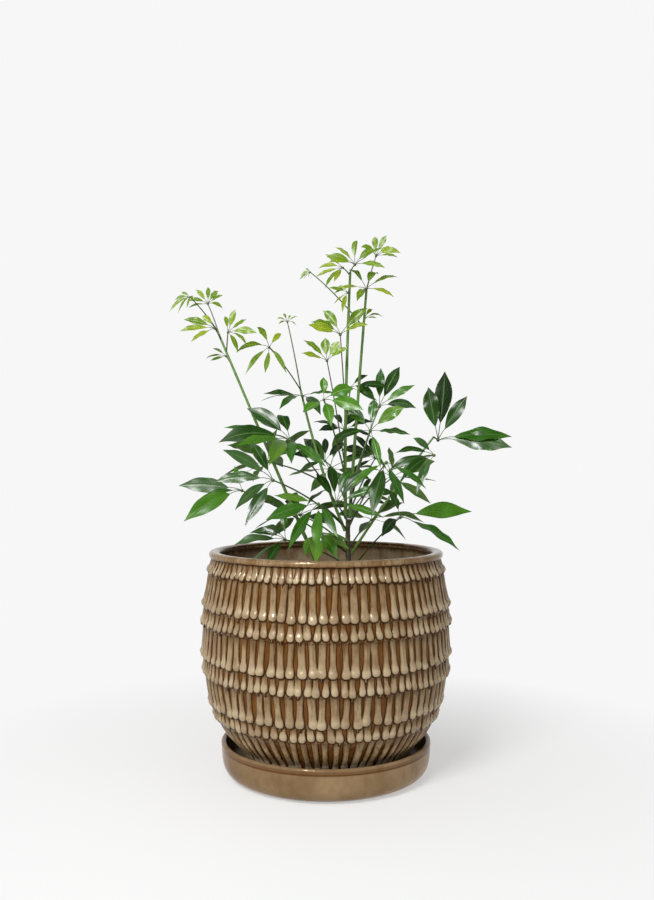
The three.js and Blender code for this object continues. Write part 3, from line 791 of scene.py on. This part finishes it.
# Rosettes as in the solids, in millimetres and degrees: mass, stem, where its stalk leaves that,
# where its heart stands, leaflets, length, facing, lean, turns of the first and last leaflet, age
ROSETTES = [
    ("top_right", "right", 1, (51, 20, 517), 7, 23, 270, 60, 85, 235, "young"),
    ("top_right", "right", 0.97, (40, -2, 479), 7, 34, 275, 45, 65, 335, "young"),
    ("top_right", "right", 0.88, (40, 28, 455), 4, 16, 270, 40, 60, 200, "young"),
    ("top_right", "right", 0.88, (-16, 22, 501), 7, 9, 230, 60, 230, 420, "bud"),
    ("top_centre", "centre", 1, (28, -26, 498), 7, 30, 265, 50, 85, 275, "young"),
    ("top_centre", "centre", 0.99, (17, 6, 502), 5, 24, 250, 60, 235, 350, "young"),
    ("top_centre", "centre", 0.94, (21, -26, 471), 5, 19, 250, 60, 225, 360, "young"),
    ("centre_high", "centre", 0.5, (14, -14, 432), 6, 35, 265, 55, 105, 265, "fresh"),
    ("centre_young", "centre", 0.28, (1, -24, 405), 5, 26, 270, 55, 120, 265, "fresh"),
    ("top_left", "left", 0.98, (-121, 24, 469), 7, 20, 270, 55, 75, 295, "young"),
    ("top_left", "left", 1, (-136, 4, 472), 8, 15, 240, 55, 240, 420, "bud"),
    ("top_left", "left", 0.93, (-97, -8, 435), 6, 24, 280, 60, 20, 190, "young"),
    ("top_left", "left", 0.97, (-111, -2, 440), 4, 27, 250, 55, 225, 320, "young"),
    ("top_left", "left", 0.86, (-103, 30, 416), 3, 18, 250, 50, 245, 315, "young"),
    ("top_middle", "middle", 1, (-57, 6, 422), 6, 29, 265, 80, 145, 410, "young"),
    ("top_middle", "middle", 0.99, (-40, 34, 452), 6, 13, 270, 40, 60, 300, "bud"),
    ("top_middle", "middle", 0.93, (-24, 18, 374), 5, 44, 260, 25, 268, 430, "grown"),
    ("centre_fresh", "centre", 0.24, (-2, -42, 366), 5, 30, 275, 60, 316, 540, "fresh"),
    ("centre_back", "centre", 0.44, (25, 22, 383), 3, 30, 280, 60, 55, 140, "grown"),
    ("right_inner", "right", 0.1, (42, -46, 336), 6, 36, 270, 60, 20, 270, "grown"),
    ("right_high", "right", 0.2, (55, 30, 364), 5, 42, 280, 60, 90, 210, "grown"),
    ("far_right", "far_right", 0.76, (102, -50, 313), 5, 34, 265, 65, 225, 330, "grown"),
    ("far_right", "far_right", 1, (113, 10, 329), 3, 60, 275, 70, 140, 190, "grown"),
    ("right_front", "trunk", 0.8, (54, -95, 306), 4, 42, 275, 55, 300, 410, "grown"),
    ("right_back", "right", 0.05, (52, 55, 311), 5, 32, 270, 50, 190, 310, "old"),
    ("front", "trunk", 0.78, (-7, -72, 268), 5, 41, 262, 55, 262, 395, "grown"),
    ("right_low", "trunk", 0.12, (71, -40, 254), 2, 68, 280, 45, 30, 100, "grown"),
    ("left_high", "middle", 0.3, (-35, -26, 328), 8, 54, 285, 35, 190, 385, "grown"),
    ("left_far", "trunk", 0.4, (-82, -20, 279), 2, 66, 260, 50, 270, 305, "grown"),
    ("left_front", "middle", 0.05, (-48, -82, 290), 7, 42, 265, 65, 140, 335, "grown"),
    ("inner_left", "centre", 0.2, (-1, 30, 308), 5, 32, 270, 65, 140, 290, "old"),
    ("inner_back", "centre", 0.32, (19, 48, 341), 6, 32, 270, 35, 60, 290, "old"),
    ("left_low", "trunk", 0.2, (-38, -58, 234), 6, 36, 255, 45, 190, 350, "grown"),
    ("front_centre", "trunk", 0.92, (10, -34, 267), 7, 44, 275, 55, 60, 210, "grown"),
    ("inner_right", "right", 0.02, (37, 30, 271), 5, 28, 285, 50, 60, 150, "old"),
    ("front_low", "trunk", 0.6, (-9, -52, 240), 5, 36, 280, 40, 330, 430, "fresh"),
    ("back_left_high", "middle", 0.35, (-62, 58, 307), 8, 50, 140, 40, 25, 335, "grown"),
    ("back_high", "centre", 0.1, (4, 92, 299), 8, 50, 90, 40, 25, 335, "grown"),
    ("back_right_high", "trunk", 0.9, (72, 82, 290), 8, 46, 50, 45, 25, 335, "grown"),
    ("back_left_low", "trunk", 0.5, (-28, 75, 250), 8, 50, 110, 35, 25, 335, "grown"),
    ("back_right_low", "trunk", 0.45, (49, 72, 245), 7, 48, 70, 35, 25, 335, "grown"),
    ("far_right", "far_right", 1, (113, 10, 329), 2, 72, 275, 70, 84, 90, "grown"),
    ("right_low", "trunk", 0.12, (71, -40, 254), 2, 36, 280, 50, 190, 310, "grown"),
    ("left_far", "trunk", 0.4, (-82, -20, 279), 2, 38, 260, 50, 200, 290, "grown"),
]

# How far stalks bow up as a share of their reach, and one mass's also sideways
STALK_BOW = 0.08
SIDE_BOW = {"left_far": -0.014}

# How far a leaflet strays from its rosette's rule: turn, rise and twist in degrees, then the
# length, the sweep of the tip and the breadth as shares
STRAY = {"turn": 14, "rise": 18, "twist": 56, "length": 0.24, "sweep": 0.16, "breadth": 0.3}

# The first and last leaflet's length and a leaflet's own stalk, as shares of the rosette's length
END_LEAFLET = 0.8
LEAFLET_STALK = 0.26

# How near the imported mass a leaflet's tip lies if the solids kept the leaflet
KEPT_WITHIN = 0.0006


def stem_point(name, share):
    base, bend, tip, _ = STEMS[name]
    return bezier(Vector(base) * MM, Vector(bend) * MM, Vector(tip) * MM, share)


def stem_radius(name, share):
    lower, upper = STEMS[name][3]
    extra, height = ROOT_FLARE
    climbed = stem_point(name, share).z - SOIL_TOP
    flare = extra * math.exp(-climbed / height) if name == "trunk" else 0
    return (lower + (upper - lower) * share) * MM + flare


class Rosette:
    """One whorl of leaflets on its stalk, by the rule of the solids."""

    def __init__(self, index, row):
        self.index = index
        self.mass, stem, at, heart, self.leaflets, length, facing, lean, *rest = row
        self.first, self.last, self.age = rest
        face, tilt = math.radians(facing), math.radians(lean)
        self.axis = stem_point(stem, at)
        self.heart = Vector(heart) * MM
        self.length = length * MM
        ahead = Vector((math.cos(face), math.sin(face), 0))
        self.normal = ahead * math.sin(tilt) + UP * math.cos(tilt)
        self.downhill = ahead * math.cos(tilt) - UP * math.sin(tilt)
        self.level = Vector((-math.sin(face), math.cos(face), 0))

    def stalk(self):
        reach = self.heart - self.axis
        sideways = reach.cross(UP).normalized()
        bowed = UP * STALK_BOW * reach.length + sideways * SIDE_BOW.get(self.mass, 0)
        return self.axis, (self.axis + self.heart) / 2 + bowed, self.heart


class Leaflet:
    """One leaflet of a rosette's ring, by the rule of the solids."""

    def __init__(self, rosette, k):
        cup, droop, width = AGES[rosette.age]
        seed = (rosette.index + 1) * 31 + k * 7
        self.seed = seed
        share = k / (rosette.leaflets - 1)
        spread = rosette.first + (rosette.last - rosette.first) * share
        turn = math.radians(spread + self.stray("turn", 0))
        outward = rosette.downhill * math.cos(turn) + rosette.level * math.sin(turn)
        shorter = 1 - (1 - END_LEAFLET) * (2 * share - 1) ** 2
        size = rosette.length * shorter * (1 + self.stray("length", 1))
        rise = math.radians(cup + self.stray("rise", 2))
        self.size = size
        self.way = outward * math.cos(rise) + rosette.normal * math.sin(rise)
        self.fall = size * droop * (0.5 + noise(seed + 3))
        self.twist = math.radians(self.stray("twist", 4))
        self.sweep = size * self.stray("sweep", 5)
        self.half = size * width * (1 + self.stray("breadth", 6))
        self.side = rosette.normal.cross(outward)
        self.root = rosette.heart + self.way * LEAFLET_STALK * size

    def stray(self, kind, number):
        return STRAY[kind] * (noise(self.seed + number) - 0.5)

    def centre(self, u):
        bent = max(u, 0) ** 2
        flat = self.root + self.way * self.size * u + self.side * self.sweep * bent
        return flat - UP * self.fall * bent

    def frame(self, u):
        """The ways across the blade and up out of it at a share of its length."""
        tangent = (self.centre(u + 0.02) - self.centre(u - 0.02)).normalized()
        flat = (self.side - tangent * self.side.dot(tangent)).normalized()
        upward = tangent.cross(flat)
        across = flat * math.cos(self.twist) + upward * math.sin(self.twist)
        return across, tangent.cross(across)


# What the names of the masses begin with in the solids
MASS = "leaves_"


def mass_trees():
    """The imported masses, for finding which leaflets the solids kept."""
    trees = {}
    for name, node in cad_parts.items():
        if name.startswith(MASS):
            mesh = node.data
            trees[name[len(MASS) :]] = BVHTree.FromPolygons(
                [v.co for v in mesh.vertices], [tuple(p.vertices) for p in mesh.polygons]
            )
    return trees


def is_kept(leaflet, tree):
    found = tree.find_nearest(leaflet.centre(1))
    return found[0] is not None and found[3] < KEPT_WITHIN


# A blade's grid: stations along it, and columns across it with a narrow rib in the middle
STATIONS = 16
COLUMNS = (-1, -0.7, -0.34, -0.045, 0, 0.045, 0.34, 0.7, 1)
MIDDLE = COLUMNS.index(0)

# Kinds of faces
ABOVE, BELOW, RIB = 0, 1, 2


def blade_slots():
    """Numbers of the points above and below, which share margin and ends, and their count."""
    upper, lower, count = {}, {}, 0
    for i in range(STATIONS + 1):
        for j in range(len(COLUMNS)):
            if i in (0, STATIONS):
                if j == 0:
                    count += 1
                upper[i, j] = lower[i, j] = count - 1
                continue
            upper[i, j] = lower[i, j] = count
            count += 1
            if 0 < j < len(COLUMNS) - 1:
                lower[i, j] = count
                count += 1
    return upper, lower, count


def blade_faces():
    """Faces between the points, and the kind of each."""
    faces, kinds = [], []
    for i in range(STATIONS):
        for j in range(len(COLUMNS) - 1):
            for sheet, slots in ((ABOVE, UPPER), (BELOW, LOWER)):
                corners = [slots[i, j], slots[i + 1, j], slots[i + 1, j + 1], slots[i, j + 1]]
                if sheet == ABOVE:
                    corners.reverse()
                face = tuple(dict.fromkeys(corners))
                if len(face) > 2:
                    faces.append(face)
                    kinds.append(RIB if j in (MIDDLE - 1, MIDDLE) and sheet == ABOVE else sheet)
    return faces, kinds


UPPER, LOWER, BLADE_POINTS = blade_slots()
BLADE_FACES, BLADE_KINDS = blade_faces()

# Breadth of the blades beside the solids' leaflets, from the least to the most
BROADER = {"old": (0.72, 1.06), "grown": (0.68, 1.1), "fresh": (0.9, 1.25), "young": (0.76, 1.06)}

# A blade's form: fold along the rib and how far it varies, arch across, ripple of the margin, its
# least waves and how many more there may be, thickness and what length adds to it, the rib's rise
FOLD, FOLD_VARIES = 0.26, 0.4
ARCH = 0.12
RIPPLE = 0.1
RIPPLE_WAVES, MORE_WAVES = 1.6, 1.4
THIN, THICKER = 0.0002, 0.003
RIB_RISE = 0.00018

# Where a blade's tip begins to taper more, and by how much
TAPER_FROM = 0.68
TAPER = 0.34


class Blade:
    """Points of one curved, folded blade, with the places along and across it."""

    def __init__(self, leaflet, age):
        seed = leaflet.seed
        self.leaflet = leaflet
        self.fold = FOLD + FOLD_VARIES * (noise(seed + 11) - 0.5)
        self.ripple = RIPPLE * (0.5 + noise(seed + 12))
        self.waves = RIPPLE_WAVES + MORE_WAVES * noise(seed + 13)
        self.phase = TURN * noise(seed + 14)
        narrow, broad = BROADER[age]
        self.broader = narrow + (broad - narrow) * noise(seed + 15)
        self.thick = THIN + THICKER * leaflet.size
        self.points = np.zeros((BLADE_POINTS, 3))
        self.along = np.zeros(BLADE_POINTS)
        self.across = np.zeros(BLADE_POINTS)
        for i in range(STATIONS + 1):
            self.add_station(i)

    def shape(self, u):
        """The outline: breadth at a share of the length."""
        taper = 1 - TAPER * smooth(TAPER_FROM, 1, u)
        return math.sin(math.pi * u**0.96) ** 0.95 * taper if 0 < u < 1 else 0

    def lift(self, u, s, half):
        """How far a point stands up from the blade's middle line."""
        folded = half * (self.fold * abs(s) - ARCH * s * s)
        wave = math.sin(self.waves * TURN * u + self.phase + s)
        return folded + self.leaflet.half * self.ripple * abs(s) ** 1.6 * wave

    def add_station(self, i):
        u = i / STATIONS
        sideways, up = self.leaflet.frame(u)
        middle = self.leaflet.centre(u)
        shape = self.shape(u)
        half = self.leaflet.half * self.broader * shape
        for j, s in enumerate(COLUMNS):
            lift = self.lift(u, s, half) + (RIB_RISE if j == MIDDLE else 0)
            point = middle + sideways * (half * s) + up * (lift * shape)
            self.put(UPPER[i, j], point, u, s)
            if LOWER[i, j] != UPPER[i, j]:
                self.put(LOWER[i, j], point - up * self.thick * (1 - s * s), u, s)

    def put(self, slot, point, u, s):
        self.points[slot] = point
        self.along[slot] = u
        self.across[slot] = abs(s)


# Greens by age: tones that are dealt leaf by leaf, the underside and the rib, then the upper side's
# roughness, gloss and relief of the veins
LEAF_LOOKS = {
    "old": {
        # The darkest greens, partly painted shade, as the old rosettes stand inside the crown
        "tones": [((18, 38, 14), (26, 50, 20)), ((30, 62, 20), (40, 76, 28))],
        "under": ((76, 102, 66), (92, 118, 80)),
        "rib": ((34, 66, 26), (44, 80, 36)),
        "wax": (0.36, 0.11, 0.07),
    },
    "grown": {
        "tones": [
            ((14, 34, 8), (22, 46, 12)),
            ((46, 76, 34), (60, 90, 46)),
            ((22, 54, 6), (32, 68, 10)),
            ((36, 82, 8), (48, 96, 14)),
            ((54, 102, 16), (68, 116, 24)),
            ((76, 116, 28), (94, 130, 38)),
        ],
        "under": ((78, 114, 48), (94, 130, 60)),
        "rib": ((46, 92, 24), (60, 106, 34)),
        "wax": (0.34, 0.11, 0.07),
    },
    "fresh": {
        "tones": [((58, 108, 20), (72, 122, 28)), ((78, 122, 30), (92, 136, 40))],
        "under": ((104, 136, 66), (120, 150, 80)),
        "rib": ((110, 146, 60), (124, 160, 74)),
        "wax": (0.36, 0.11, 0.07),
    },
    "young": {
        # Light yellow-greens of young leaves, brightened partly as painted light shining through the thin
        # blades
        "tones": [
            ((100, 130, 8), (114, 142, 14)),
            ((84, 116, 8), (98, 128, 14)),
            ((116, 138, 18), (130, 150, 28)),
        ],
        "under": ((130, 154, 62), (146, 168, 78)),
        "rib": ((150, 172, 66), (162, 182, 80)),
        "wax": (0.42, 0.11, 0.02),
    },
}
UNDER_WAX = (0.55, 0.12, 0.02)

# Rosettes whose hearts stand higher than this are young, and so are buds
YOUNG_ABOVE = 0.4


def look_of(rosette):
    young = rosette.heart.z > YOUNG_ABOVE or rosette.age == "bud"
    return "young" if young else rosette.age


def leaf_materials(age):
    look = LEAF_LOOKS[age]
    made = [leaf_material(f"leaf_{age}_{i}", tone, look["wax"]) for i, tone in enumerate(look["tones"])]
    made.append(leaf_material(f"leaf_{age}_under", look["under"], UNDER_WAX))
    made.append(plain_material(f"leaf_{age}_rib", look["rib"], 200, 0.45, 0.2, 0.0002))
    return made


# Stalks: radius at the start, also of young ones, what is left of it at the heart, steps and sides,
# then the knob there: its steps and its most
STALK_RADIUS, YOUNG_RADIUS = 0.0009, 0.0007
STALK_NARROWS = 0.72
STALK_GRID = (20, 8)
KNOB_STEPS = 5
KNOB_MOST = 0.0017

# The leaflets' own stalks: their bow as a share of the leaflet's length, how far they reach into its
# blade, both ends' radii as shares of one that follows its length, steps and sides
LEAFLET_BOW = 0.04
INTO_BLADE = 0.03
LEAFLET_STALK_ENDS = (1.1, 0.8)
LEAFLET_GRID = (5, 6)


def round_stalk(parts, curve, ends, grid, tone):
    steps, sides = grid
    points = [bezier(*curve, i / steps) for i in range(steps + 1)]
    parts.add(*tube(points, np.linspace(*ends, steps + 1), sides), tone)


def knob(parts, centre, size, tone):
    """The small swelling where leaflets meet."""
    turns = [math.pi * (i + 0.4) / (KNOB_STEPS + 0.8) for i in range(KNOB_STEPS + 1)]
    points = [centre + UP * size * math.cos(turn) for turn in turns]
    parts.add(*tube(points, [size * math.sin(turn) for turn in turns], STALK_GRID[1]), tone)


class Foliage:
    """Blades by age and all stalks, gathered over the rosettes."""

    def __init__(self):
        self.trees = mass_trees()
        self.blades = {age: Parts() for age in LEAF_LOOKS}
        self.nodes = {age: set() for age in LEAF_LOOKS}
        self.stalks = Parts()

    def add_rosette(self, rosette):
        age = look_of(rosette)
        tone = int(age == "young")
        thick = YOUNG_RADIUS if age == "young" else STALK_RADIUS
        round_stalk(self.stalks, rosette.stalk(), (thick, thick * STALK_NARROWS), STALK_GRID, tone)
        knob(self.stalks, rosette.heart, min(KNOB_MOST, 0.0007 + rosette.length / 40), tone)
        self.nodes[age].add(MASS + rosette.mass)
        for k in range(rosette.leaflets):
            leaflet = Leaflet(rosette, k)
            if is_kept(leaflet, self.trees[rosette.mass]):
                self.add_leaflet(rosette, leaflet, age, tone)

    def add_leaflet(self, rosette, leaflet, age, tone):
        root = leaflet.centre(INTO_BLADE)
        bow = (rosette.heart + root) / 2 + UP * LEAFLET_BOW * leaflet.size
        ends = np.array(LEAFLET_STALK_ENDS) * (0.0002 + 0.004 * leaflet.size)
        round_stalk(self.stalks, (rosette.heart, bow, root), ends, LEAFLET_GRID, tone)
        tones = len(LEAF_LOOKS[age]["tones"])
        deal = (noise(leaflet.seed + 21) + noise(rosette.index * 3 + 1)) / 2
        kinds = {ABOVE: min(int(deal * tones), tones - 1), BELOW: tones, RIB: tones + 1}
        materials = [kinds[kind] for kind in BLADE_KINDS]
        made = Blade(leaflet, age)
        self.blades[age].add(made.points, BLADE_FACES, materials, along=made.along, across=made.across)


def make_leaves():
    foliage = Foliage()
    for index, row in enumerate(ROSETTES):
        foliage.add_rosette(Rosette(index, row))
    for age, parts in foliage.blades.items():
        nodes = sorted(foliage.nodes[age])
        parts.piece("leaves_of_age_" + age, "leaf_" + age, leaf_materials(age), nodes, sharp=50)
    stalk_materials = [
        plain_material("stalk_green", ((50, 76, 28), (70, 98, 40)), 120, 0.42, 0.06),
        plain_material("stalk_young", ((50, 62, 24), (72, 86, 34)), 120, 0.42, 0.06),
    ]
    foliage.stalks.piece("leaf_stalks", "green_stem", stalk_materials, [])


# Stems: steps, sides, steps from one leaf scar to the next, the swelling there and the unevenness
STEM_STEPS = 70
STEM_SIDES = 20
SCAR_STEPS = 11
SCAR_SWELLS = 0.12
STEM_UNEVEN = 0.02


def stem_tube(name):
    shares = [i / STEM_STEPS for i in range(STEM_STEPS + 1)]
    radii = []
    for i, share in enumerate(shares):
        scar = math.exp(-((i % SCAR_STEPS - SCAR_STEPS // 2) ** 2) / 1.2)
        uneven = 1 + SCAR_SWELLS * scar + STEM_UNEVEN * (noise(i * 3 + len(name)) - 0.5)
        radii.append(stem_radius(name, share) * uneven)
    return tube([stem_point(name, share) for share in shares], radii, STEM_SIDES)


def make_stems():
    shoots = Parts()
    trunk = Parts()
    for name in STEMS:
        (trunk if name == "trunk" else shoots).add(*stem_tube(name))
    bark = plain_material("bark", ((60, 54, 36), (92, 84, 58)), 500, 0.8, 0.7, 0.0008)
    green = plain_material("shoot_green", ((70, 106, 34), (94, 128, 48)), 90, 0.42, 0.06)
    trunk.piece("trunk_bark", "bark", [bark], ["trunk"])
    names = ["shoot_" + name for name in STEMS if name != "trunk"]
    shoots.piece("green_shoots", "green_stem", [green], names)


# Stage
# The white round the part is a product of factors. Each changes along an axis: from where to where,
# and from what to what. It is dimmer above, behind the viewer and to both sides
PALE = 0.93
SKY = [
    ("Z", 0.5, 0.85, PALE, 0.4),
    ("Y", 0.45, 0.85, 0.66, 1),
    ("X", -0.8, -0.4, 0.56, 1),
    ("X", 0.4, 0.8, 1, 0.76),
]

# The floor's white, and the even glow that takes over from it away from the part
FLOOR_WHITE = (0.96, 0.96, 0.956, 1)
GLOW_SHARES = (0.46, 1)
GLOW_REACH = (0.15, 0.46)
FLOOR_RADIUS = 14
FLOOR_SIDES = 96


def make_sky():
    world = bpy.data.worlds.new("world")
    bpy.context.scene.world = world
    world.use_nodes = True
    nodes = Nodes(world.node_tree)
    way = nodes.add("SeparateXYZ", {0: nodes.add("TexCoord").outputs["Generated"]}).outputs
    strength = 1
    for axis, *change in SKY:
        strength = nodes.math("MULTIPLY", nodes.span(way[axis], *change, "SMOOTHSTEP"), strength)
    sky = nodes.tree.nodes["Background"]
    nodes.put(sky.inputs["Strength"], strength)
    nodes.put(sky.inputs["Color"], (1, 1, 1, 1))


def floor_material():
    """White that is shaded near the part and glows evenly away from it."""
    nodes = Look("floor")
    reach = nodes.add("VectorMath", {0: nodes.place()}, operation="LENGTH").outputs["Value"]
    nodes.set(Base_Color=FLOOR_WHITE, Roughness=0.9, Specular_IOR_Level=0.1)
    glow = nodes.add("Emission", {"Color": (PALE, PALE, PALE, 1), "Strength": 1.0})
    blend = nodes.add("MixShader", {0: nodes.span(reach, *GLOW_REACH, *GLOW_SHARES)})
    nodes.put(blend.inputs[1], nodes.shader.outputs[0])
    nodes.put(blend.inputs[2], glow.outputs[0])
    nodes.put(nodes.tree.nodes["Material Output"].inputs["Surface"], blend.outputs[0])
    return nodes.material


def make_floor():
    mesh = bpy.data.meshes.new("floor")
    turns = [TURN * i / FLOOR_SIDES for i in range(FLOOR_SIDES)]
    corners = [(FLOOR_RADIUS * math.cos(turn), FLOOR_RADIUS * math.sin(turn), 0) for turn in turns]
    mesh.from_pydata(corners, [], [tuple(range(FLOOR_SIDES))])
    mesh.materials.append(floor_material())
    new_object("floor", mesh)


# Lights: place, aim, size and power. The glint shows in gloss alone
KEY = ((-0.48, -1.06, 1.0), (0, 0, 0.2), (0.5, 0.5), 17)
GLINT = ((-0.4, -0.88, 1.28), (0, 0, 0.15), (0.11, 0.28), 78)


def area_light(name, place, aim, size, power):
    data = bpy.data.lights.new(name, "AREA")
    data.shape = "RECTANGLE"
    data.size, data.size_y = size
    data.energy = power
    light = new_object(name, data)
    light.location = place
    light.rotation_euler = (Vector(aim) - Vector(place)).to_track_quat("-Z", "Y").to_euler()
    return light


def make_lights():
    area_light("key", *KEY)
    area_light("glint", *GLINT).visible_diffuse = False


make_camera()
make_sky()
make_floor()
make_lights()
make_pot()
make_saucer()
make_soil()
make_stems()
make_leaves()
bpy.context.scene.view_settings.view_transform = "Standard"
